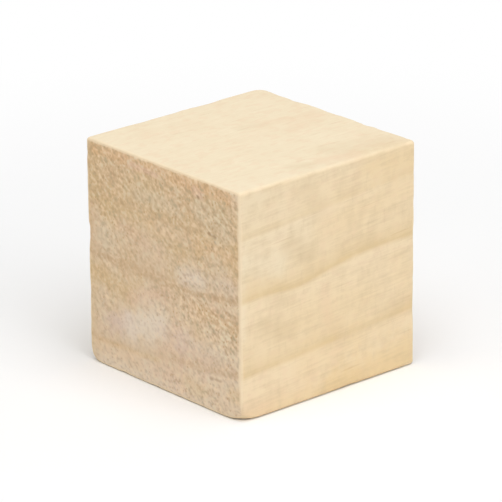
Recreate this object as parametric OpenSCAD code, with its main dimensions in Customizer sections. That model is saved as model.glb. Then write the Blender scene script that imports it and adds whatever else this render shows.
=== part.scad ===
// Solid wooden craft cube, cut from a square planed stick, with its edges eased.
// It stands on Z = 0, centred on the Z axis. The fibres run along Y, so the
// faces at the two ends of Y are sawn end grain and the other four are planed.

/* [Block] */
// Width across the fibres, from one planed side to the other
block_width = 24.3; // [12:0.1:50]
// Length along the fibres, from one sawn end to the other
block_length = 24.4; // [12:0.1:50]
// Height from the base to the top face
block_height = 25; // [12:0.1:50]

/* [Edges] */
// Radius of the four edges that run along the fibres
long_edge_r = 0.45; // [0.1:0.05:1.5]
// Radius of the eight edges around the two sawn ends
end_edge_r = 0.35; // [0.1:0.05:1.5]

/* [Worn corners] */
// Radius of the ball shape that each worn corner is rounded to
worn_r = 6; // [5.5:0.5:10]
// Depth worn off the base corner between the front end and the right side
front_corner_wear = 1; // [0.4:0.1:1.2]
// Depth worn off the base corner between the front end and the left side
left_corner_wear = 0.6; // [0.4:0.1:1.2]
// Depth worn off the top corner between the back end and the left side
back_corner_wear = 0.5; // [0.4:0.1:1.2]

/* [Hidden] */
$fn = 96;
wood_colour = [0.93, 0.84, 0.70];
// Side lengths along X, Y and Z
block = [block_width, block_length, block_height];
// How far a corner cut reaches past the faces that it cuts
cut_past = 1;

// Outline a wide and b high, centred, with its corners rounded to r
module eased_outline(a, b, r) {
    square([a - 2 * r, b], center = true);
    square([a, b - 2 * r], center = true);
    for (x = [-1, 1], y = [-1, 1])
        translate([x * (a / 2 - r), y * (b / 2 - r)]) circle(r = r);
}

// The stick that the block is cut from, with its own four edges eased
module planed_stick() {
    rotate([90, 0, 0])
        linear_extrude(height = block_length, center = true)
            eased_outline(block_width, block_height, long_edge_r);
}

// All that lies within the upright edges of the two ends, once they are eased
module within_upright_edges() {
    linear_extrude(height = block_height, center = true)
        eased_outline(block_width, block_length, end_edge_r);
}

// All that lies within the level edges of the two ends, once they are eased
module within_level_edges() {
    rotate([90, 0, 90])
        linear_extrude(height = block_width, center = true)
            eased_outline(block_length, block_height, end_edge_r);
}

// What is gone from a worn corner: the bit between the sharp corner and a ball.
// side is the corner's direction from the block's centre, 1 or -1 on each axis,
// and wear is the depth lost, measured from the sharp corner towards the ball.
module corner_loss(side, wear) {
    ball_inset = (worn_r + wear) / sqrt(3);
    bit = ball_inset + cut_past;
    translate([for (i = [0:2]) side[i] * (block[i] / 2 - ball_inset)])
        difference() {
            translate(side * bit / 2) cube(bit, center = true);
            sphere(r = worn_r);
        }
}

module wood_block() {
    color(wood_colour)
        translate([0, 0, block_height / 2])
            difference() {
                intersection() {
                    planed_stick();
                    within_upright_edges();
                    within_level_edges();
                }
                corner_loss([1, -1, -1], front_corner_wear);
                corner_loss([-1, -1, -1], left_corner_wear);
                corner_loss([-1, 1, 1], back_corner_wear);
            }
}

wood_block();
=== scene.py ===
"""Solid pine craft cube: one block of wood with its real finish, and a plain studio to see it in."""

import itertools
import math

import bpy
import numpy as np
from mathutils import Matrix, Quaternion, Vector


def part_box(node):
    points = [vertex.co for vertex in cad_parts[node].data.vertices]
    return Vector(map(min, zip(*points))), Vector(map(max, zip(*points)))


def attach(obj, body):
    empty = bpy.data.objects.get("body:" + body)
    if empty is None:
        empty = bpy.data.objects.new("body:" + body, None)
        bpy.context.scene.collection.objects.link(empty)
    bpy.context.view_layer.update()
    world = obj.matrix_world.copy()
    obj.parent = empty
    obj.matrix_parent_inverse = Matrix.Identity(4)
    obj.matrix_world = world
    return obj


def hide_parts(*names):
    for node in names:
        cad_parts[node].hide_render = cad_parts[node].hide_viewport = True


bl_info = {
    "name": "Pine Craft Cube",
    "version": (1, 0, 0),
    "blender": (4, 5, 0),
    "location": "3D View > Sidebar > Craft Cube",
    "description": "A small block of solid pine with planed sides, sawn ends and rubbed edges",
    "category": "Add Mesh",
}

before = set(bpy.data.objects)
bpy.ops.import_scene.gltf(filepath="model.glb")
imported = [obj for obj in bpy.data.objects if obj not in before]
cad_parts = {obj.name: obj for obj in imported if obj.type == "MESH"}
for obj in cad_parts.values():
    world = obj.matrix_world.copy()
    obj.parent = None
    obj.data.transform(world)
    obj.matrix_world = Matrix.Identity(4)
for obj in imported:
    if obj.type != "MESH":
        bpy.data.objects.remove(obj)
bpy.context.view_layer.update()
BLOCK_LOW, BLOCK_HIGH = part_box("wood_block")
BLOCK_SIZE = BLOCK_HIGH - BLOCK_LOW

MM = 0.001

# The tree grew round a pith line that runs above the block, along its length. Places across the
# growth rings are distances from that line, in mm.
PITH_X = -1.7
PITH_Z = 100.0
# How far the fibres climb for each mm along the block
GRAIN_CLIMB = 0.066
# Where the fibres bend up or down: centre (x, y, z), reach on each axis and lift, in mm
GRAIN_SWELLS = (
    ((12.0, -4.0, 13.5), (8.0, 3.5, 5.0), -0.60),
    ((12.0, 6.0, 14.0), (8.0, 5.0, 6.0), 0.35),
    ((-14.0, -12.0, 4.0), (9.0, 8.0, 6.0), -1.6),
    ((-12.0, 2.0, 8.0), (9.0, 5.0, 6.0), 0.70),
    ((-12.0, -7.0, 17.0), (7.0, 4.0, 5.0), -0.45),
    ((2.0, 12.0, 10.0), (6.0, 7.0, 5.0), 0.50),
)
# Where each year's growth ends, how strongly its late wood shows, and how wide that wood is, in mm
RING_ENDS = (
    (73.2, 0.6, 0.6),
    (80.6, 0.5, 0.7),
    (87.4, 1.0, 0.95),
    (95.5, 0.95, 1.0),
    (102.6, 1.0, 0.9),
    (110.0, 0.8, 0.8),
)
# How far past a year's end its late wood has faded out, in mm
RING_EDGE = 0.18
# The saw blade's middle, from the block's, and the spacing of the arcs that it left, in mm
SAW_X = -70.0
SAW_Z = 95.0
SAW_PITCH = 0.9


def paint(red, green, blue):
    """A colour given as 0 to 255 on a screen, as Blender's linear numbers."""
    shares = np.array((red, green, blue)) / 255
    dark = shares / 12.92
    light = ((shares + 0.055) / 1.055) ** 2.4
    return tuple(float(x) for x in np.where(shares <= 0.04045, dark, light))


# ---------------------------------------------------------------- settings


class BlockSettings(bpy.types.PropertyGroup):
    """Sizes of the block and of the relief on its faces."""

    width: bpy.props.FloatProperty(
        name="Width",
        description="Across the fibres, from one planed side to the other",
        default=BLOCK_SIZE.x,
        min=0.005,
        unit="LENGTH",
    )
    length: bpy.props.FloatProperty(
        name="Length",
        description="Along the fibres, from one sawn end to the other",
        default=BLOCK_SIZE.y,
        min=0.005,
        unit="LENGTH",
    )
    height: bpy.props.FloatProperty(
        name="Height",
        description="From the base to the top face",
        default=BLOCK_SIZE.z,
        min=0.005,
        unit="LENGTH",
    )
    side_ease: bpy.props.FloatProperty(
        name="Side ease",
        description="How far the rounding of the edges reaches onto the planed faces' width",
        default=0.45 * MM,
        min=0.05 * MM,
        unit="LENGTH",
    )
    end_ease: bpy.props.FloatProperty(
        name="End ease",
        description="How far the rounding of the edges reaches back from the sawn ends",
        default=0.35 * MM,
        min=0.05 * MM,
        unit="LENGTH",
    )
    worn_radius: bpy.props.FloatProperty(
        name="Worn corner radius",
        description="Radius of the ball shape that each worn corner is rounded to",
        default=6.0 * MM,
        min=1.0 * MM,
        unit="LENGTH",
    )
    front_wear: bpy.props.FloatProperty(
        name="Front corner wear",
        description="Depth worn off the base corner between the front end and the right side",
        default=1.0 * MM,
        min=0.0,
        unit="LENGTH",
    )
    left_wear: bpy.props.FloatProperty(
        name="Left corner wear",
        description="Depth worn off the base corner between the front end and the left side",
        default=0.6 * MM,
        min=0.0,
        unit="LENGTH",
    )
    back_wear: bpy.props.FloatProperty(
        name="Back corner wear",
        description="Depth worn off the top corner between the back end and the left side",
        default=0.5 * MM,
        min=0.0,
        unit="LENGTH",
    )
    waviness: bpy.props.FloatProperty(
        name="Face waviness",
        description="How far the planed and sawn faces dip between their high spots",
        default=0.04 * MM,
        min=0.0,
        unit="LENGTH",
    )
    ring_relief: bpy.props.FloatProperty(
        name="Ring relief",
        description="How far the soft early wood lies below the hard late wood",
        default=0.02 * MM,
        min=0.0,
        unit="LENGTH",
    )
    saw_relief: bpy.props.FloatProperty(
        name="Saw marks",
        description="Depth of the marks that the saw left across the two ends",
        default=0.02 * MM,
        min=0.0,
        unit="LENGTH",
    )
    nick_depth: bpy.props.FloatProperty(
        name="Nick depth",
        description="Depth of the small nicks and dents along the edges",
        default=0.10 * MM,
        min=0.0,
        unit="LENGTH",
    )


def wood_colour(name, description, *shade):
    """A colour setting whose default is given as 0 to 255 on a screen."""
    return bpy.props.FloatVectorProperty(
        name=name, description=description, default=paint(*shade), subtype="COLOR", min=0.0, max=1.0
    )


class FinishSettings(bpy.types.PropertyGroup):
    """Colours of the bare wood."""

    early_wood: wood_colour("Early wood", "Pale wood grown in spring, freshly planed", 237, 222, 193)
    # Painted light: this warmer colour of the sides and base stands in for warm bounce light, against the
    # paler top.
    side_bounce_wood: wood_colour("Sidelit wood", "The same pale wood where it has yellowed a little", 236, 215, 180)
    late_wood: wood_colour(
        "Late wood", "Tan wood that ends each year's growth, on the planed faces", 213, 183, 127
    )
    streak: wood_colour(
        "Streak", "Duller shade of the fine streaks and mottles on the planed faces", 208, 184, 146
    )
    end_early: wood_colour("End early wood", "Pale wood where the saw cut across the fibres", 225, 200, 168)
    end_flushed: wood_colour(
        "End flushed wood", "Slightly pink wood in cloudy patches on the sawn ends", 227, 193, 168
    )
    tawny: wood_colour("Tawny wood", "Yellower wood in cloudy patches on the sawn ends", 214, 182, 132)
    ashen: wood_colour("Ashen wood", "Greyer wood in small spots on the sawn ends", 219, 202, 173)
    mauve: wood_colour("Mauve wood", "Faintly violet wood in a few patches on the sawn ends", 223, 199, 184)
    # The same pale colour also paints light near the base of the front end.
    bleached: wood_colour("Bleached wood", "Pale smears on the sawn ends", 236, 223, 205)
    pit: wood_colour("Pit", "A few dark pits in the sawn ends", 160, 120, 90)
    end_late: wood_colour(
        "End late wood", "Darker wood of the rings where the saw cut across the fibres", 205, 172, 134
    )
    russet: wood_colour(
        "Russet wood", "Warmer wood along the top of the front end and in faint patches", 236, 185, 134
    )
    fibre_shade: wood_colour("Fibre shade", "Brown between the torn fibres of a sawn end", 186, 150, 115)
    grey_shade: wood_colour("Grey shade", "The same shade where it turns greyer", 178, 160, 130)
    fibre_tips: wood_colour("Fibre tips", "Pale tips of the torn fibres of a sawn end", 246, 221, 186)
    grey_tips: wood_colour("Grey tips", "The same tips where they turn greyer", 232, 219, 190)
    flushed: wood_colour(
        "Flushed wood", "Slightly pink wood that shows in cloudy patches on the planed faces", 233, 205, 174
    )
    # The same colour also paints a warm reflection and shade near the base of the right side.
    honey: wood_colour("Honey wood", "Yellower wood in broad patches on the planed faces", 229, 200, 148)
    # Partly painted highlight: this paler edge colour is clean worn wood and also stands in for the bright
    # lines of light along the edges.
    rubbed: wood_colour("Rubbed edge", "Clean wood on the rounded edges and corners", 240, 219, 185)
    resin: wood_colour("Resin", "Fine resin ducts and pits", 190, 146, 98)


class StudioSettings(bpy.types.PropertyGroup):
    """Camera, floor and lamps."""

    azimuth: bpy.props.FloatProperty(
        name="Azimuth",
        description="How far the camera stands round to the right of the front end",
        default=math.radians(48.7),
        subtype="ANGLE",
    )
    elevation: bpy.props.FloatProperty(
        name="Elevation",
        description="How far the camera looks down",
        default=math.radians(20.4),
        subtype="ANGLE",
    )
    roll: bpy.props.FloatProperty(
        name="Roll",
        description="How far the camera leans over to its right",
        default=math.radians(0.5),
        subtype="ANGLE",
    )
    distance: bpy.props.FloatProperty(
        name="Distance",
        description="From the camera to the middle of the block",
        default=0.414,
        min=0.05,
        unit="LENGTH",
    )
    lens: bpy.props.FloatProperty(
        name="Lens",
        description="Focal length in mm, on a 36 mm wide sensor",
        default=283.0,
        min=10.0,
    )
    floor_colour: bpy.props.FloatVectorProperty(
        name="Floor",
        description="Colour of the plain floor",
        default=(0.92, 0.92, 0.92),
        subtype="COLOR",
        min=0.0,
        max=1.0,
    )
    room_light: bpy.props.FloatProperty(
        name="Room light",
        description="Strength of the even light from all round",
        default=0.40,
        min=0.0,
    )


# ------------------------------------------------------------------ shape


def soft_noise(points, cell, seed):
    """Smooth random numbers from -1 to 1. Each corner of a lattice of cells gets a random number, and
    inside a cell its eight numbers are blended along each axis by the s-curve 3t^2 - 2t^3."""
    draws = np.random.default_rng(seed)
    places = points / np.asarray(cell) + draws.uniform(0, 1, 3)
    corner = np.floor(places).astype(int)
    part = places - corner
    part = part * part * (3 - 2 * part)
    corner -= corner.min(axis=0)
    numbers = draws.uniform(-1, 1, corner.max(axis=0) + 2)
    value = np.zeros(len(points))
    for step in itertools.product((0, 1), repeat=3):
        share = np.prod(np.where(step, part, 1 - part), axis=1)
        value += share * numbers[tuple((corner + step).T)]
    return value


def s_curve(value, low, high):
    """0 below low, 1 above high, and 3t^2 - 2t^3 between them."""
    part = np.clip((value - low) / (high - low), 0, 1)
    return part * part * (3 - 2 * part)


def stations(half, ease, edge_cells, flat_cells, crowding):
    """Places of grid lines along one side, from -half to half. The rounding at each end has edge_cells lines
    at equal turns up to 45 degrees, ease times the tangent of the turn. The flat between them has flat_cells
    lines, which crowd towards both ends as sin does, by the share crowding."""
    turn = np.radians(np.linspace(0, 45, edge_cells + 1))
    rounding = half - ease + ease * np.tan(turn)
    even = np.linspace(-1, 1, flat_cells + 1)
    flat = (half - ease) * ((1 - crowding) * even + crowding * np.sin(even * math.pi / 2))
    return np.concatenate([-rounding[:0:-1], flat, rounding[1:]])


def box_grid(counts):
    """The skin of a box of counts cells along X, Y and Z, as grids on its six faces that share their rims.
    Gives the whole-number places of the grid's points, the quads that join them, the number of each quad's
    side, twice the axis that it looks along and 1 more at the far end, and each quad corner's place on its
    own side from 0 to 1."""
    rows, sides, charts = [], [], []
    ring = np.array([(0, 0), (1, 0), (1, 1), (0, 1)])
    step = np.cumprod([1, counts[0] + 1, counts[1] + 1])
    for axis, far in itertools.product(range(3), (0, 1)):
        across, up = [i for i in range(3) if i != axis]
        cells = np.indices((counts[across], counts[up])).reshape(2, -1).T
        corners = cells[:, None] + (ring if far == (axis != 1) else ring[::-1])
        rows.append(corners @ step[[across, up]] + far * counts[axis] * step[axis])
        sides.append(np.full(len(cells), axis * 2 + far))
        charts.append(corners / (counts[across], counts[up]))
    unique, index = np.unique(np.concatenate(rows), return_inverse=True)
    places = np.stack([unique // step[i] % (counts[i] + 1) for i in range(3)], axis=1)
    return places, index.reshape(-1, 4), np.concatenate(sides), np.concatenate(charts)


def eased_block(skin, half, ease):
    """Rounds a box's skin. Each point is split into the nearest point of the core, the box less its easing,
    and an offset measured in easings. The offset is set to length 1 and multiplied by the easing again, so
    flats stay flat, and edges and corners become quarter rounds and eighths of a ball. Gives the points and
    their outward directions."""
    core = np.clip(skin, -(half - ease), half - ease)
    offset = (skin - core) / ease
    offset /= np.linalg.norm(offset, axis=1, keepdims=True)
    outward = offset / ease
    outward /= np.linalg.norm(outward, axis=1, keepdims=True)
    return core + offset * ease, outward


def worn_corner(points, half, side, radius, wear):
    """Pulls one corner in to a ball. The ball's surface passes wear inside the sharp corner, on the line that
    leans alike to its three faces, and a point's distance from the ball's centre becomes the soft minimum of
    itself and the radius, blended within blend mm. The pull fades out over fade mm behind the centre."""
    blend, fade = 0.5, 1.5
    side = np.asarray(side)
    centre = side * (half - (radius + wear) / math.sqrt(3))
    away = points - centre
    distance = np.linalg.norm(away, axis=1)
    near = np.clip(blend - np.abs(distance - radius), 0, None) / blend
    held = np.minimum(distance, radius) - near * near * blend / 4
    share = np.prod(s_curve(away * side, -fade, 0.0), axis=1)
    return points + away * (share * (held / distance - 1))[:, None]


def edge_distance(points, half):
    """How far each point on the skin is from the nearest edge of the sharp box: the second smallest of its
    distances from the box's faces along X, Y and Z."""
    return np.sort(half - np.abs(points), axis=1)[:, 1]


def ring_place(points, height):
    """How far out from the pith each point grew: its distance across the fibres from the pith line, which
    climbs with the grain, with the local swells taken off its height and a slight waver added."""
    x, y, z = points[:, 0], points[:, 1], points[:, 2] + height / 2
    lift = GRAIN_CLIMB * y
    for centre, reach, swell in GRAIN_SWELLS:
        gap = (np.stack([x, y, z], axis=1) - centre) / reach
        lift = lift + swell * np.exp(-np.sum(gap * gap, axis=1))
    waver = 0.10 * soft_noise(points, (3.1, 6.5, 3.1), seed=11)
    waver += 0.04 * soft_noise(points, (1.2, 3.0, 1.2), seed=12)
    return np.hypot(x - PITH_X, PITH_Z - (z - lift)) + waver


def ring_tones():
    """The late wood's tone as (place, tone) pairs. Each year it starts at nothing, RING_EDGE past the last
    year's end, and drifts up. It reaches 0.3 of its strength 2.4 widths of late wood before the year's end,
    0.66 at one width and all of it at half a width, and from a quarter of a width it drops away."""
    pairs = []
    for (start, _, _), (end, strength, width) in itertools.pairwise(RING_ENDS):
        pairs += [
            (start + RING_EDGE, 0.0),
            (start + 0.35 * (end - start), 0.10 * strength),
            (end - 2.4 * width, 0.30 * strength),
            (end - width, 0.66 * strength),
            (end - 0.5 * width, strength),
            (end - 0.25 * width, strength),
        ]
    return pairs


def face_relief(points, outward, half, place, settings):
    """Depth below the true face at each point, never under 0: a broad unevenness, the early wood worn lower
    than the late wood, and on the two ends torn fibres and the arcs left by a round saw blade. The arcs are a
    sine of the distance from the blade's middle, SAW_PITCH apart, made uneven by noise."""
    ends = s_curve(np.abs(outward[:, 1]), 0.75, 0.95)
    broad = 0.5 + 0.35 * soft_noise(points, (7.0, 9.0, 7.0), seed=21)
    broad += 0.15 * soft_noise(points, (2.6, 5.0, 2.6), seed=22)
    late = np.interp(place, *np.array(ring_tones()).T)
    arc = np.hypot(points[:, 0] - SAW_X, points[:, 2] - SAW_Z)
    swerve = 2.5 * soft_noise(points, (4.0, 4.0, 4.0), seed=23)
    saw = 0.5 + 0.5 * np.sin(arc * 2 * math.pi / SAW_PITCH + swerve)
    saw *= 0.5 + 0.5 * soft_noise(points, (5.0, 9.0, 5.0), seed=24)
    torn = 0.5 + 0.5 * soft_noise(points, (0.7, 1.5, 0.9), seed=25)
    depth = settings.waviness / MM * broad
    depth += settings.ring_relief / MM * (1 - late) * (0.6 + 0.8 * ends)
    depth += settings.saw_relief / MM * ends * (saw + torn)
    return depth


# Nicks along the edges: centre (x, y, z) from the block's middle and reach, in mm, and depth in nick depths
NICKS = (
    ((-6.2, 12.2, 12.5), 0.9, 1.5),
    ((4.9, 12.2, 12.5), 0.7, 1.4),
    ((-8.6, 12.2, 12.5), 1.6, 1.0),
    ((-7.0, -12.2, 12.5), 0.7, 0.6),
    ((-2.4, -12.2, 12.5), 0.9, 0.5),
    ((5.4, -12.2, 12.5), 0.6, 0.9),
    ((12.15, -12.2, 5.5), 0.8, 0.5),
    ((-12.15, -12.2, 1.4), 1.4, 0.8),
    ((-12.15, -12.2, -4.5), 1.1, 0.6),
    ((12.15, 12.2, -6.0), 1.3, 0.7),
    ((12.15, 3.0, -12.5), 1.0, 0.5),
    ((-12.15, 5.0, 12.5), 1.2, 0.6),
)


def edge_wear(points, edge, settings):
    """Depth worn or knocked off near the edges: soft random dents where the noise is high, a few nicks at
    their own places, and all of it fading out within a mm of the edge."""
    dents = s_curve(soft_noise(points, (1.7, 1.5, 1.7), seed=31), 0.15, 0.95)
    dents += 0.5 * s_curve(soft_noise(points, (0.5, 0.45, 0.5), seed=32), 0.2, 0.9)
    depth = 0.6 * dents
    for centre, reach, strength in NICKS:
        gap = np.linalg.norm(points - centre, axis=1) / reach
        depth += strength * np.exp(-gap * gap)
    return settings.nick_depth / MM * depth * (1 - s_curve(edge, 0.1, 0.9))


def block_surface(settings):
    """The block's points, quads, sides and chart places, in mm from the middle of its base, with the values
    that its finish reads: the place across the rings, how worn the edges are, where a painted highlight
    also lies, and the share of painted warm bounce light on the sides, 0 on the top and 1 elsewhere."""
    size = np.array([settings.width, settings.length, settings.height]) / MM
    half = size / 2
    ease = np.array([settings.side_ease, settings.end_ease, settings.side_ease]) / MM
    edge_cells = 4
    flat_cells = (142, 80, 142)
    crowding = (0.25, 0.5, 0.25)
    lines = [stations(half[i], ease[i], edge_cells, flat_cells[i], crowding[i]) for i in range(3)]
    places, quads, sides, charts = box_grid([len(line) - 1 for line in lines])
    skin = np.stack([lines[i][places[:, i]] for i in range(3)], axis=1)
    points, outward = eased_block(skin, half, ease)
    radius = settings.worn_radius / MM
    for side, wear in (
        ((1, -1, -1), settings.front_wear),
        ((-1, -1, -1), settings.left_wear),
        ((-1, 1, 1), settings.back_wear),
    ):
        points = worn_corner(points, half, side, radius, wear / MM)
    edge = edge_distance(points, half)
    place = ring_place(points, size[2])
    depth = face_relief(points, outward, half, place, settings)
    depth += edge_wear(points, edge, settings)
    points = np.clip(points - outward * depth[:, None], -half, half)
    points[:, 2] += half[2]
    # How far the edges are worn clean; the same mask paints a highlight along them.
    rub_highlight_reach = 0.55 + 0.25 * soft_noise(points, (1.6, 1.6, 1.6), seed=41)
    rubbed = 1 - s_curve(edge, 0.12, rub_highlight_reach)
    # The edges along the fibres get less wear and less painted highlight than those round the ends
    rubbed *= 1 - 0.6 * s_curve(half[1] - np.abs(points[:, 1]), 0.6, 1.8)
    # Painted light: the sides and base get the warmer colour that bounce light would give, and the top stays
    # pale.
    side_bounce_share = 1 - s_curve(outward[:, 2], 0.3, 0.95)
    return points, quads, sides, charts, {"ring_place": place, "rubbed": rubbed, "side_bounce_share": side_bounce_share}


def chart_map(sides, charts):
    """Lays the six faces side by side in three columns and two rows, with a margin round each. The two that
    look along Z are turned, so that the fibres run across the map there too."""
    margin = 0.004
    flat = np.where((sides >= 4)[:, None, None], charts[:, :, ::-1], charts)
    cell = np.array([1 / 3, 1 / 2])
    corner = np.stack([sides % 3, sides // 3], axis=1) * cell
    return corner[:, None, :] + margin + flat * (cell - 2 * margin)


def build_mesh(name, points, quads):
    """A mesh of quads, its points given in mm."""
    mesh = bpy.data.meshes.new(name)
    mesh.vertices.add(len(points))
    mesh.vertices.foreach_set("co", (points * MM).astype(np.float32).ravel())
    mesh.loops.add(quads.size)
    mesh.loops.foreach_set("vertex_index", quads.astype(np.int32).ravel())
    mesh.polygons.add(len(quads))
    mesh.polygons.foreach_set("loop_start", np.arange(0, quads.size, 4, dtype=np.int32))
    mesh.update(calc_edges=True)
    mesh.shade_smooth()
    return mesh


# --------------------------------------------------------------- materials


class Board:
    """Adds nodes to a node tree and wires them up. A value may be a number, a tuple or another socket, and a
    stretch is how many cells of a pattern go into a mm, on all axes alike or on each."""

    def __init__(self, tree):
        self.tree = tree
        self.column = 0

    def add(self, kind, **values):
        node = self.tree.nodes.new(kind)
        node.location = (self.column * 180, -(self.column % 5) * 160)
        self.column += 1
        for name, value in values.items():
            setattr(node, name, value)
        return node

    def wire(self, socket, value):
        if isinstance(value, bpy.types.NodeSocket):
            self.tree.links.new(value, socket)
        else:
            socket.default_value = value

    def math(self, operation, first, second=0.0, third=0.0, clamp=False):
        node = self.add("ShaderNodeMath", operation=operation, use_clamp=clamp)
        for socket, value in zip(node.inputs, (first, second, third), strict=True):
            self.wire(socket, value)
        return node.outputs[0]

    def vector(self, operation, first, second=(0, 0, 0), scale=1.0):
        node = self.add("ShaderNodeVectorMath", operation=operation)
        self.wire(node.inputs[0], first)
        if operation == "SCALE":
            self.wire(node.inputs["Scale"], scale)
        elif operation != "LENGTH":
            self.wire(node.inputs[1], second)
        return node.outputs["Value" if operation in ("LENGTH", "DOT_PRODUCT") else "Vector"]

    def ramp(self, value, low, high, to_low=0.0, to_high=1.0, smooth=True):
        node = self.add("ShaderNodeMapRange", interpolation_type="SMOOTHSTEP" if smooth else "LINEAR")
        for socket, given in zip(node.inputs, (value, low, high, to_low, to_high), strict=False):
            self.wire(socket, given)
        return node.outputs["Result"]

    def mix(self, share, first, second):
        # A Mix node's colours are its inputs 6 and 7 and its output 2
        node = self.add("ShaderNodeMix", data_type="RGBA")
        self.wire(node.inputs["Factor"], share)
        self.wire(node.inputs[6], opaque(first))
        self.wire(node.inputs[7], opaque(second))
        return node.outputs[2]

    def stain(self, colour, mask, strength, second):
        return self.mix(self.math("MULTIPLY", mask, strength), colour, second)

    def pattern(self, kind, place, stretch):
        if isinstance(stretch, tuple):
            place, stretch = self.vector("MULTIPLY", place, stretch), 1.0
        node = self.add(kind)
        self.wire(node.inputs["Vector"], place)
        self.wire(node.inputs["Scale"], stretch)
        return node

    def noise(self, place, stretch, detail=2.0, roughness=0.5):
        node = self.pattern("ShaderNodeTexNoise", place, stretch)
        self.wire(node.inputs["Detail"], detail)
        self.wire(node.inputs["Roughness"], roughness)
        return node.outputs["Fac"]

    def cells(self, place, stretch):
        return self.pattern("ShaderNodeTexVoronoi", place, stretch).outputs["Distance"]

    def group(self, tree, **inputs):
        node = self.add("ShaderNodeGroup", node_tree=tree)
        for name, value in inputs.items():
            self.wire(node.inputs[name.replace("_", " ")], value)
        return node.outputs


def opaque(colour):
    """A colour of three numbers with a fourth, 1, for a colour socket. Sockets pass unchanged."""
    return colour if isinstance(colour, bpy.types.NodeSocket) else (*colour[:3], 1.0)


def effect(name, inputs, outputs):
    """An empty shader node group with named sockets: its tree, board, inputs and outputs. Inputs are named
    with their defaults, numbers or vectors. Outputs are numbers, but for one that is named Vector."""
    tree = bpy.data.node_groups.new(name, "ShaderNodeTree")
    for label, value in inputs.items():
        kind = "NodeSocketVector" if isinstance(value, tuple) else "NodeSocketFloat"
        socket = tree.interface.new_socket(label, in_out="INPUT", socket_type=kind)
        socket.default_value = value
    for label in outputs:
        kind = "NodeSocketVector" if label == "Vector" else "NodeSocketFloat"
        tree.interface.new_socket(label, in_out="OUTPUT", socket_type=kind)
    board = Board(tree)
    entry = board.add("NodeGroupInput")
    leave = board.add("NodeGroupOutput")
    return tree, board, entry.outputs, leave.inputs


NOWHERE = (0.0, 0.0, 0.0)


def along_grain_effect():
    """Object coordinates in mm, sheared so that the second axis follows the climbing fibres."""
    tree, board, given, out = effect("Along the grain", {"Vector": NOWHERE}, ["Vector"])
    place = board.vector("SCALE", given["Vector"], scale=1 / MM)
    height = board.vector("DOT_PRODUCT", place, (0, -GRAIN_CLIMB, 1))
    apart = board.add("ShaderNodeSeparateXYZ")
    board.wire(apart.inputs[0], place)
    joined = board.add("ShaderNodeCombineXYZ")
    for socket, value in zip(joined.inputs, (apart.outputs[0], apart.outputs[1], height), strict=True):
        board.wire(socket, value)
    board.wire(out["Vector"], joined.outputs[0])
    return tree


def growth_rings_effect():
    """Tone of the late wood at a place across the rings, from a ramp whose stops are ring_tones."""
    tree, board, given, out = effect("Growth rings", {"Place": 0.0}, ["Late wood"])
    pairs = ring_tones()
    low, high = pairs[0][0], pairs[-1][0]
    share = board.ramp(given["Place"], low, high, smooth=False)
    node = board.add("ShaderNodeValToRGB")
    board.wire(node.inputs[0], share)
    stops = node.color_ramp.elements
    for place, tone in pairs[1:-1]:
        stops.new((place - low) / (high - low)).color = (tone, tone, tone, 1)
    stops[0].color = (0, 0, 0, 1)
    stops[-1].color = (*[pairs[-1][1]] * 3, 1)
    board.wire(out["Late wood"], node.outputs["Color"])
    return tree


def fibres_effect():
    """Long thin streaks along the fibres, the rays that cross them as upright ribbons, and the scarcer resin
    ducts. On a planed side the rays are short upright flecks and the streaks run long. On a sawn end the rays
    are thin upright lines and the streaks are dots."""
    tree, board, given, out = effect("Fibres", {"Vector": NOWHERE}, ["Streaks", "Rays", "Ducts"])
    place = given["Vector"]
    broad = board.noise(place, (1.1, 0.07, 1.1))
    thin = board.noise(place, (4.5, 0.22, 4.5), 3.0, 0.7)
    streaks = board.math("ADD", board.math("MULTIPLY", broad, 0.35), board.math("MULTIPLY", thin, 0.65))
    board.wire(out["Streaks"], streaks)
    ray = board.noise(place, (4.0, 2.4, 0.7), 2.0, 0.6)
    board.wire(out["Rays"], board.ramp(ray, 0.54, 0.7))
    duct = board.cells(place, (1.3, 0.07, 1.3))
    board.wire(out["Ducts"], board.ramp(duct, 0.05, 0.14, 1.0, 0.0))
    return tree


def sawn_fuzz_effect():
    """Torn fibre ends on a sawn face: fine grains, and slanted streaks left by the saw's run, that stand out
    more in some places than others, and the scarcer open pits."""
    tree, board, given, out = effect("Sawn fuzz", {"Vector": NOWHERE}, ["Fuzz", "Pits", "Torn"])
    place = given["Vector"]
    slanted = board.add("ShaderNodeCombineXYZ")
    for socket, along in zip(slanted.inputs, ((1.2, 0, -0.9), (0, 0.6, 0), (1.4, 0, 1.9)), strict=True):
        board.wire(socket, board.vector("DOT_PRODUCT", place, along))
    streaks = board.noise(slanted.outputs[0], 1.0, 1.0)
    grain = board.noise(place, (3.6, 1.6, 3.6), 0.5)
    fuzz = board.math("ADD", board.math("MULTIPLY", streaks, 0.7), board.math("MULTIPLY", grain, 0.3))
    board.wire(out["Fuzz"], fuzz)
    pit = board.cells(place, (1.8, 0.6, 1.6))
    board.wire(out["Pits"], board.ramp(pit, 0.08, 0.26, 1.0, 0.0))
    rise = board.vector("DOT_PRODUCT", place, (0.012, 0, 0.022))
    field = board.math("ADD", board.noise(place, 0.16), rise)
    board.wire(out["Torn"], board.ramp(field, 0.4, 1.1, 0.45, 1.0))
    return tree


def machine_marks_effect():
    """Faint bands straight across the fibres, where the planer's knives struck, and cloudy patches: Tinge and
    Mottle are the finest, then Clouds, and Hue the broadest. Each is a noise with its stretch, detail and
    roughness."""
    noises = {
        "Ripple": ((0.1, 1.1, 0.1), 2.0, 0.5),
        "Clouds": ((0.28, 0.4, 0.22), 3.0, 0.5),
        "Mottle": ((1.3, 0.9, 1.1), 3.0, 0.6),
        "Tinge": ((1.4, 0.7, 1.2), 1.0, 0.5),
        "Hue": ((0.2, 0.3, 0.14), 1.0, 0.5),
    }
    tree, board, given, out = effect("Machine marks", {"Vector": NOWHERE}, noises)
    for name, values in noises.items():
        board.wire(out[name], board.noise(given["Vector"], *values))
    return tree


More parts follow.
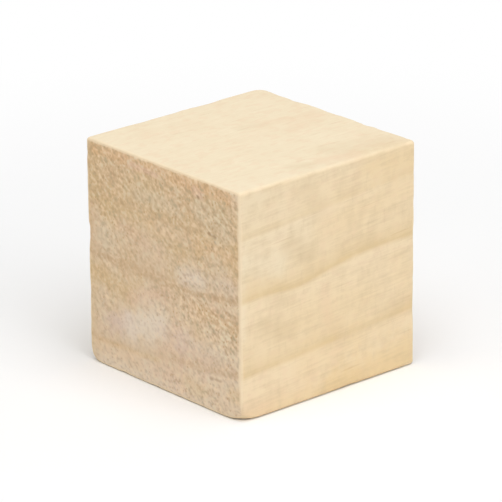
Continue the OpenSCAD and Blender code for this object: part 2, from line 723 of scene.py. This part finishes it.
def soft_patch_effect():
    """A stain or pale smear: 1 along the line between two points, in mm, fading to 0 at its reach from it,
    with a ragged rim."""
    inputs = {"Vector": NOWHERE, "From": NOWHERE, "To": (0.0, 0.0, 1.0), "Reach": 2.0}
    tree, board, given, out = effect("Soft patch", inputs, ["Mask"])
    run = board.vector("SUBTRACT", given["To"], given["From"])
    gone = board.vector("SUBTRACT", given["Vector"], given["From"])
    share = board.math(
        "DIVIDE", board.vector("DOT_PRODUCT", gone, run), board.vector("DOT_PRODUCT", run, run), clamp=True
    )
    nearest = board.vector("SCALE", run, scale=share)
    gap = board.vector("LENGTH", board.vector("SUBTRACT", gone, nearest))
    ragged = board.noise(given["Vector"], 0.8, 5.0, 0.68)
    gap = board.math("DIVIDE", gap, given["Reach"])
    gap = board.math("ADD", gap, board.math("MULTIPLY", board.math("SUBTRACT", ragged, 0.5), 1.2))
    board.wire(out["Mask"], board.ramp(gap, 0.1, 1.0, 1.0, 0.0))
    return tree


def rubbed_highlit_edge_effect():
    """Where an edge is worn clean and carries a painted highlight: the mesh's own value, broken up slightly
    by the grain.
    """
    tree, board, given, out = effect("Rubbed edge", {"Rubbed": 0.0, "Vector": NOWHERE}, ["Mask"])
    grain = board.math("SUBTRACT", board.noise(given["Vector"], 3.0), 0.5)
    worn = board.math("ADD", given["Rubbed"], board.math("MULTIPLY", grain, 0.35))
    board.wire(out["Mask"], board.ramp(worn, 0.2, 0.9))
    return tree


def build_effects():
    """The node groups that the materials share, each built once."""
    return {
        "grain": along_grain_effect(),
        "rings": growth_rings_effect(),
        "fibres": fibres_effect(),
        "fuzz": sawn_fuzz_effect(),
        "marks": machine_marks_effect(),
        "patch": soft_patch_effect(),
        "edge": rubbed_highlit_edge_effect(),
    }


def clear_board(owner):
    """Turns on the nodes of a material or a world and clears them, and gives the board to build on."""
    owner.use_nodes = True
    owner.node_tree.nodes.clear()
    return Board(owner.node_tree)


def start_material(name, effects):
    """A material with its shader, and the sockets that both finishes of the wood start from."""
    material = bpy.data.materials.new(name)
    board = clear_board(material)
    shader = board.add("ShaderNodeBsdfPrincipled")
    surface = board.add("ShaderNodeOutputMaterial")
    board.wire(surface.inputs["Surface"], shader.outputs[0])
    where = board.add("ShaderNodeTexCoord").outputs["Object"]
    ring = board.add("ShaderNodeAttribute", attribute_name="ring_place").outputs["Fac"]
    # The worn share of the edges, which also places their painted highlight
    worn = board.add("ShaderNodeAttribute", attribute_name="rubbed").outputs["Fac"]
    grain = board.group(effects["grain"], Vector=where)["Vector"]
    late = board.group(effects["rings"], Place=ring)["Late wood"]
    edge = board.group(effects["edge"], Rubbed=worn, Vector=grain)["Mask"]
    return material, board, shader, grain, late, edge


def add_bump(board, shader, height, distance):
    """Makes the shader's surface stand up by the height, a share of the distance."""
    bump = board.add("ShaderNodeBump")
    board.wire(bump.inputs["Height"], height)
    board.wire(bump.inputs["Distance"], distance)
    board.wire(bump.inputs["Strength"], 1.0)
    board.wire(shader.inputs["Normal"], bump.outputs["Normal"])


def add_tints(board, effects, grain, colour, finish, tints):
    """Mixes each tint, one of the finish's colours, into the colour where its soft patch lies."""
    for start, end, reach, tint, strength in tints:
        mask = board.group(effects["patch"], Vector=grain, From=start, To=end, Reach=reach)["Mask"]
        colour = board.stain(colour, mask, strength, getattr(finish, tint))
    return colour


def add_patches(board, effects, grain, value, patches):
    """Raises or lowers a value by each patch's strength, where that soft patch lies."""
    for start, end, reach, strength in patches:
        mask = board.group(effects["patch"], Vector=grain, From=start, To=end, Reach=reach)["Mask"]
        value = board.math("MULTIPLY_ADD", mask, strength, value)
    return value


# Faces that carry patches: the axis that each looks along, and its place on it in mm
RIGHT = (0, 12.2)
FRONT = (1, -12.2)
TOP = (2, 25.0)


def on_face(face, *patches):
    """Patches whose two ends are given by the axes that lie in their face, with the face's own place put in.
    Heights are those that along_grain_effect gives."""
    axis, level = face
    return tuple(
        (*((*end[:axis], level, *end[axis:]) for end in patch[:2]), *patch[2:]) for patch in patches
    )


# Tints on the planed faces: the ends and the reach of each in mm, its colour in the finish and its strength
SIDE_TINTS = (
    *on_face(
        RIGHT,
        ((-11.0, 22.0), (-4.0, 19.0), 6.0, "early_wood", 0.4),
        ((-11.0, 17.6), (-7.0, 16.4), 2.4, "early_wood", 0.7),
        ((-3.4, 23.6), (-1.6, 21.0), 2.2, "streak", 0.24),
        ((-5.4, 18.0), (-2.6, 16.4), 2.0, "streak", 0.3),
        ((-8.6, 10.4), (-5.4, 9.0), 2.0, "streak", 0.36),
        ((-7.4, 12.6), (-5.2, 12.0), 1.1, "streak", 0.2),
        ((-0.6, 11.8), (-0.2, 8.0), 1.3, "flushed", 0.5),
        ((-11.2, 2.0), (-9.0, 1.2), 2.0, "flushed", 0.6),
        # Painted light near the base of the right side: a warm reflection towards the back, then painted
        # shade along the base towards the front.
        ((1.0, 0.0), (12.0, 1.0), 4.0, "honey", 0.5),
        ((-12.0, 0.2), (3.0, 0.2), 2.5, "honey", 0.3),
        ((6.0, 23.6), (12.0, 22.6), 3.0, "honey", 0.35),
        ((-4.0, 10.0), (5.0, 9.5), 3.5, "honey", 0.15),
        ((-3.0, 4.6), (3.0, 5.2), 3.4, "honey", 0.2),
        ((4.0, 4.8), (11.5, 5.8), 2.6, "honey", 0.16),
        ((4.5, 11.6), (11.5, 8.8), 2.4, "rubbed", 0.4),
        ((9.5, 11.6), (12.0, 7.0), 2.6, "honey", 0.15),
        ((-11.9, 10.0), (-11.9, 17.0), 1.0, "early_wood", 0.4),
        ((-1.0, 18.6), (11.5, 19.4), 2.4, "honey", 0.2),
        ((-11.5, 24.4), (12.0, 24.4), 1.3, "early_wood", 0.25),
        ((-11.5, 24.4), (12.0, 24.4), 1.3, "streak", 0.12),
    ),
    *on_face(
        TOP,
        ((9.0, 4.0), (10.5, 10.0), 3.5, "streak", 0.24),
        ((9.8, -2.6), (10.4, -0.8), 1.4, "streak", 0.22),
        ((10.2, 0.8), (11.2, 4.6), 1.8, "flushed", 0.45),
        ((-3.2, 1.2), (-2.6, 4.2), 1.3, "streak", 0.16),
        ((-2.6, 4.8), (-1.4, 9.5), 1.6, "flushed", 0.4),
        ((1.0, 5.0), (-1.0, 10.0), 2.2, "flushed", 0.3),
    ),
)

# Where the late wood shows less on the right side: ends and reach in mm, and the change in its share
LATE_PATCHES = on_face(RIGHT, ((2.6, 6.2), (12.2, 8.2), 2.4, -0.5))


def planed_material(finish, effects):
    """Planed pine: ring tone, streaks along the fibres, machine marks, tints, resin ducts and clean edges.
    The edges also carry a painted highlight, and the sides a painted warm bounce light that the top lacks.
    """
    material, board, shader, grain, late, edge = start_material("planed_pine", effects)
    fibres = board.group(effects["fibres"], Vector=grain)
    marks = board.group(effects["marks"], Vector=grain)
    # The sides against the top are painted light: the sides take the warmer colour that bounce light would
    # give, and more flush, while the top stays pale.
    side_bounce_share = board.add("ShaderNodeAttribute", attribute_name="side_bounce_share").outputs["Fac"]
    colour = board.mix(side_bounce_share, finish.early_wood, finish.side_bounce_wood)
    flush = board.ramp(marks["Hue"], 0.5, 0.75, 0.0, board.math("MULTIPLY_ADD", side_bounce_share, 0.2, 0.15))
    colour = board.mix(flush, colour, finish.flushed)
    colour = board.mix(board.ramp(marks["Tinge"], 0.5, 0.68, 0.0, 0.3), colour, finish.flushed)
    colour = add_tints(board, effects, grain, colour, finish, SIDE_TINTS)
    late = board.math("MULTIPLY", late, add_patches(board, effects, grain, 1.0, LATE_PATCHES))
    uneven = board.ramp(marks["Clouds"], 0.35, 0.65, 0.44, 0.60)
    colour = board.stain(colour, late, uneven, finish.late_wood)
    varied = 0.0
    for value, middle, share in (
        (fibres["Streaks"], 0.5, 1.6),
        (fibres["Rays"], 0.15, 0.12),
        (marks["Ripple"], 0.5, 0.2),
        (marks["Clouds"], 0.5, 0.65),
        (marks["Mottle"], 0.5, 0.7),
    ):
        varied = board.math("MULTIPLY_ADD", board.math("SUBTRACT", value, middle), share, varied)
    # The figure shows less on the top, which the painted top light keeps pale.
    shown = board.math("MULTIPLY_ADD", side_bounce_share, 0.73, 0.27)
    colour = board.mix(board.math("MULTIPLY_ADD", varied, shown, 0.12), colour, finish.streak)
    colour = board.stain(colour, fibres["Ducts"], 0.16, finish.resin)
    # Paler edges: worn clean wood, and a painted highlight along them
    colour = board.stain(colour, edge, 0.6, finish.rubbed)
    board.wire(shader.inputs["Base Color"], colour)
    board.wire(shader.inputs["Roughness"], board.ramp(fibres["Streaks"], 0.3, 0.7, 0.56, 0.72))
    board.wire(shader.inputs["Specular IOR Level"], 0.3)
    height = board.math("SUBTRACT", fibres["Streaks"], board.math("MULTIPLY", fibres["Ducts"], 0.4))
    add_bump(board, shader, height, 0.03 * MM)
    return material


# Tints and pits on the front end, given as the tints on the planed faces are
END_TINTS = on_face(
    FRONT,
    # Painted light: a broad pale wash over the lower front end, lifting the shade near the floor.
    ((-10.0, 0.5), (9.0, 0.5), 11.0, "bleached", 0.26),
    ((-10.0, 22.5), (8.0, 21.5), 7.0, "tawny", 0.55),
    ((-9.5, 19.6), (-5.0, 18.0), 3.0, "tawny", 0.4),
    ((-12.2, 1.0), (-12.2, 24.0), 2.4, "tawny", 0.4),
    ((11.2, 17.0), (11.4, 19.4), 1.6, "tawny", 0.5),
    ((6.0, 11.4), (11.5, 10.8), 1.3, "tawny", 0.35),
    ((10.8, 3.6), (12.0, 3.6), 1.4, "tawny", 0.4),
    ((-1.0, 18.8), (4.0, 18.0), 2.4, "tawny", 0.36),
    ((-10.5, 11.4), (-6.0, 10.0), 2.0, "tawny", 0.5),
    ((-10.2, 3.6), (-1.0, 4.0), 0.6, "tawny", 0.4),
    ((3.4, 3.0), (5.6, 2.4), 1.5, "tawny", 0.3),
    ((-9.6, 15.6), (-8.8, 14.4), 2.0, "ashen", 0.5),
    ((-3.8, 21.6), (2.2, 21.6), 1.6, "ashen", 0.45),
    ((7.5, 7.8), (11.6, 7.4), 1.6, "ashen", 0.45),
    ((6.0, 22.4), (9.5, 21.0), 2.2, "ashen", 0.5),
    ((-10.5, 24.9), (10.5, 24.8), 1.3, "russet", 0.32),
    ((-1.5, 18.9), (11.0, 18.5), 1.4, "russet", 0.16),
    ((4.5, 11.5), (11.0, 11.3), 1.7, "russet", 0.14),
    ((-10.5, 3.2), (-4.5, 3.0), 1.6, "russet", 0.14),
    ((-6.4, 17.4), (-3.0, 16.6), 1.7, "end_flushed", 0.35),
    ((-5.0, 9.8), (0.5, 11.6), 1.5, "end_flushed", 0.42),
    ((5.4, 24.3), (6.2, 24.1), 0.9, "end_flushed", 0.6),
    ((-5.0, 24.6), (-0.8, 24.4), 0.6, "end_flushed", 0.6),
    ((-5.0, 14.8), (-0.5, 13.4), 1.8, "end_late", 0.25),
    ((-12.0, 13.2), (-1.5, 13.2), 0.6, "end_late", 0.4),
    ((-0.5, 12.0), (11.0, 11.6), 1.8, "end_late", 0.35),
    ((3.0, 6.8), (10.5, 6.2), 2.2, "mauve", 0.25),
    ((3.0, 7.8), (11.5, 7.2), 1.6, "bleached", 0.25),
    ((-8.2, 6.0), (-5.4, 6.8), 2.0, "mauve", 0.8),
    ((-4.9, 6.3), (-0.6, 8.3), 2.8, "bleached", 0.72),
    ((0.4, 7.6), (2.6, 6.8), 2.0, "mauve", 0.4),
    ((3.5, 14.1), (5.4, 14.5), 2.0, "bleached", 0.9),
    ((6.6, 14.9), (10.6, 15.1), 1.6, "bleached", 0.42),
    # Painted light: a paler strip along the base of the front end.
    ((-10.0, 0.8), (7.0, 0.9), 1.8, "bleached", 0.38),
    ((-0.5, 19.0), (4.0, 18.6), 1.5, "bleached", 0.22),
    ((5.7, 23.8), (5.8, 23.7), 0.30, "pit", 0.6),
    ((7.4, 20.3), (8.6, 20.1), 0.26, "pit", 0.65),
    ((8.3, 19.6), (8.4, 19.5), 0.26, "pit", 0.7),
    ((7.9, 18.9), (8.0, 18.8), 0.26, "pit", 0.6),
    ((7.4, 4.5), (9.0, 4.6), 0.30, "pit", 0.45),
)

# Where the front end is torn more than elsewhere: ends and reach in mm, and how much more
TORN_PATCHES = on_face(
    FRONT,
    ((4.0, 11.5), (10.0, 9.5), 4.0, 0.5),
    ((-9.0, 24.0), (10.0, 22.5), 3.5, 0.15),
    ((-9.0, 1.0), (11.0, 1.6), 3.2, 0.35),
)


def sawn_material(finish, effects):
    """Sawn end of the pine: darker and matt, with torn fibre ends, open pits, faint rings and smears."""
    material, board, shader, grain, late, edge = start_material("sawn_pine_end", effects)
    fuzz = board.group(effects["fuzz"], Vector=grain)
    fibres = board.group(effects["fibres"], Vector=grain)
    marks = board.group(effects["marks"], Vector=grain)
    colour = board.mix(board.ramp(marks["Hue"], 0.5, 0.7, 0.0, 0.5), finish.end_early, finish.end_flushed)
    colour = board.mix(board.ramp(marks["Clouds"], 0.5, 0.64, 0.0, 0.3), colour, finish.tawny)
    colour = board.mix(board.ramp(marks["Mottle"], 0.5, 0.36, 0.0, 0.4), colour, finish.ashen)
    colour = add_tints(board, effects, grain, colour, finish, END_TINTS)
    torn = add_patches(board, effects, grain, fuzz["Torn"], TORN_PATCHES)
    colour = board.stain(colour, late, board.math("MULTIPLY", torn, 0.7), finish.end_late)
    dark = board.ramp(fuzz["Fuzz"], 0.52, 0.30, 0.0, 0.52)
    light = board.ramp(fuzz["Fuzz"], 0.47, 0.68, 0.0, 0.52)
    hue = board.ramp(marks["Tinge"], 0.38, 0.62)
    colour = board.stain(colour, dark, torn, board.mix(hue, finish.fibre_shade, finish.grey_shade))
    colour = board.stain(colour, light, torn, board.mix(hue, finish.fibre_tips, finish.grey_tips))
    colour = board.stain(colour, fuzz["Pits"], board.math("MULTIPLY", torn, 0.5), finish.resin)
    colour = board.stain(colour, fibres["Ducts"], 0.3, finish.resin)
    # Paler edges: worn clean wood, and a painted highlight along them
    colour = board.stain(colour, edge, 0.75, finish.rubbed)
    board.wire(shader.inputs["Base Color"], colour)
    board.wire(shader.inputs["Roughness"], board.ramp(fuzz["Fuzz"], 0.3, 0.7, 0.92, 0.8))
    board.wire(shader.inputs["Specular IOR Level"], 0.2)
    height = board.math("SUBTRACT", fuzz["Fuzz"], board.math("MULTIPLY", fuzz["Pits"], 0.3))
    add_bump(board, shader, height, 0.02 * MM)
    return material


def seen_share(board):
    """1 where a ray comes straight from the camera, a reflection or glass, and 0 where it only lights."""
    path = board.add("ShaderNodeLightPath").outputs
    seen = board.math("MAXIMUM", path["Is Camera Ray"], path["Is Glossy Ray"])
    return board.math("MAXIMUM", seen, path["Is Transmission Ray"])


def floor_material(colour):
    """Plain pale floor. It holds the block's shadow near the middle and fades to even white further out."""
    material = bpy.data.materials.new("studio_floor")
    board = clear_board(material)
    surface = board.add("ShaderNodeOutputMaterial")
    matt = board.add("ShaderNodeBsdfDiffuse")
    board.wire(matt.inputs["Color"], opaque(colour))
    white = board.add("ShaderNodeEmission")
    where = board.add("ShaderNodeTexCoord").outputs["Object"]
    far = board.ramp(board.vector("LENGTH", where), 0.03, 0.11)
    mix = board.add("ShaderNodeMixShader")
    board.wire(mix.inputs[0], board.math("MULTIPLY", seen_share(board), far))
    board.wire(mix.inputs[1], matt.outputs[0])
    board.wire(mix.inputs[2], white.outputs[0])
    board.wire(surface.inputs["Surface"], mix.outputs[0])
    return material


# ------------------------------------------------------------------ stage


def direction(azimuth, elevation):
    """The unit vector from the block towards a place round it. Azimuth 0 is in front, 90 to the right."""
    level = math.cos(elevation)
    return Vector((math.sin(azimuth) * level, -math.cos(azimuth) * level, math.sin(elevation)))


def build_floor(colour):
    """A flat square under the block: one quad, its corners at plus and minus its half side."""
    half_side = 3.0 / MM
    corners = half_side * np.array([(-1, -1, 0), (1, -1, 0), (1, 1, 0), (-1, 1, 0)])
    mesh = build_mesh("studio_floor", corners, np.array([[0, 1, 2, 3]]))
    floor = bpy.data.objects.new("studio_floor", mesh)
    floor.data.materials.append(floor_material(colour))
    bpy.context.scene.collection.objects.link(floor)


def stand_back(name, data, back, distance, roll=0.0):
    """Puts a camera or lamp at a distance from the block's middle and turns it to face that point."""
    item = bpy.data.objects.new(name, data)
    item.location = (BLOCK_LOW + BLOCK_HIGH) / 2 + back * distance
    item.rotation_mode = "QUATERNION"
    item.rotation_quaternion = Quaternion(back, -roll) @ (-back).to_track_quat("-Z", "Y")
    bpy.context.scene.collection.objects.link(item)
    return item


def build_camera(settings):
    """A camera that looks at the block's middle from the azimuth and elevation given."""
    back = direction(settings.azimuth, settings.elevation)
    view = bpy.data.cameras.new("studio_camera")
    view.lens = settings.lens
    view.sensor_width = 36.0
    view.clip_start = 0.01
    view.clip_end = 20.0
    camera = stand_back("studio_camera", view, back, settings.distance, settings.roll)
    bpy.context.scene.camera = camera


# Soft boxes: name, azimuth and elevation in degrees as the camera's, distance and side in m, power in W
SOFT_BOXES = (
    ("overhead_box", 60.0, 72.0, 0.60, 0.55, 2.78),
    ("right_box", 95.0, 28.0, 0.70, 0.50, 1.0),
    ("left_box", -20.0, 25.0, 0.80, 0.50, 0.42),
)


def build_lamps(room_light):
    """Square soft boxes that all face the block, hidden from the camera, and an even light from all round."""
    for name, azimuth, elevation, distance, side, power in SOFT_BOXES:
        back = direction(math.radians(azimuth), math.radians(elevation))
        lamp = bpy.data.lights.new(name, "AREA")
        lamp.shape = "SQUARE"
        lamp.size = side
        lamp.energy = power
        stand_back(name, lamp, back, distance).visible_camera = False
    world = bpy.data.worlds.new("studio_room")
    bpy.context.scene.world = world
    board = clear_board(world)
    light = board.add("ShaderNodeBackground")
    strength = board.ramp(seen_share(board), 0, 1, room_light, 1.0, smooth=False)
    board.wire(light.inputs["Color"], (1, 1, 1, 1))
    board.wire(light.inputs["Strength"], strength)
    surface = board.add("ShaderNodeOutputWorld")
    board.wire(surface.inputs["Surface"], light.outputs[0])


# -------------------------------------------------------------- operators


class CRAFTCUBE_OT_block(bpy.types.Operator):
    """Build the block of pine with its finish"""

    bl_idname = "craft_cube.block"
    bl_label = "Pine Block"

    def execute(self, context):
        settings = context.scene.cube_block
        points, quads, sides, charts, values = block_surface(settings)
        mesh = build_mesh("pine_block", points, quads)
        for name, value in values.items():
            mesh.attributes.new(name, "FLOAT", "POINT").data.foreach_set("value", value.astype(np.float32))
        layer = mesh.uv_layers.new(name="OFBake")
        layer.uv.foreach_set("vector", chart_map(sides, charts).astype(np.float32).ravel())
        effects = build_effects()
        finish = context.scene.cube_finish
        mesh.materials.append(planed_material(finish, effects))
        mesh.materials.append(sawn_material(finish, effects))
        ends = (sides == 2) | (sides == 3)
        mesh.polygons.foreach_set("material_index", ends.astype(np.int32))
        block = bpy.data.objects.new("pine_block", mesh)
        context.scene.collection.objects.link(block)
        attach(block, "root")
        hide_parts("wood_block")
        return {"FINISHED"}


class CRAFTCUBE_OT_studio(bpy.types.Operator):
    """Build the floor, the camera and the soft lamps"""

    bl_idname = "craft_cube.studio"
    bl_label = "Studio"

    def execute(self, context):
        settings = context.scene.cube_studio
        build_floor(settings.floor_colour)
        build_camera(settings)
        build_lamps(settings.room_light)
        context.scene.view_settings.view_transform = "Standard"
        return {"FINISHED"}


class CRAFTCUBE_PT_sidebar(bpy.types.Panel):
    """Settings and buttons for the craft cube"""

    bl_idname = "CRAFTCUBE_PT_sidebar"
    bl_label = "Craft Cube"
    bl_space_type = "VIEW_3D"
    bl_region_type = "UI"
    bl_category = "Craft Cube"

    def draw(self, context):
        for group, operator in (
            (context.scene.cube_block, "craft_cube.block"),
            (context.scene.cube_finish, None),
            (context.scene.cube_studio, "craft_cube.studio"),
        ):
            column = self.layout.box().column()
            for name in group.bl_rna.properties.keys():
                if name not in ("rna_type", "name"):
                    column.prop(group, name)
            if operator:
                column.operator(operator)


CLASSES = (
    BlockSettings,
    FinishSettings,
    StudioSettings,
    CRAFTCUBE_OT_block,
    CRAFTCUBE_OT_studio,
    CRAFTCUBE_PT_sidebar,
)


def register():
    for item in CLASSES:
        bpy.utils.register_class(item)
    bpy.types.Scene.cube_block = bpy.props.PointerProperty(type=BlockSettings)
    bpy.types.Scene.cube_finish = bpy.props.PointerProperty(type=FinishSettings)
    bpy.types.Scene.cube_studio = bpy.props.PointerProperty(type=StudioSettings)


def unregister():
    del bpy.types.Scene.cube_studio
    del bpy.types.Scene.cube_finish
    del bpy.types.Scene.cube_block
    for item in reversed(CLASSES):
        bpy.utils.unregister_class(item)


def main():
    register()
    bpy.ops.craft_cube.block()
    bpy.ops.craft_cube.studio()


if __name__ == "__main__":
    main()
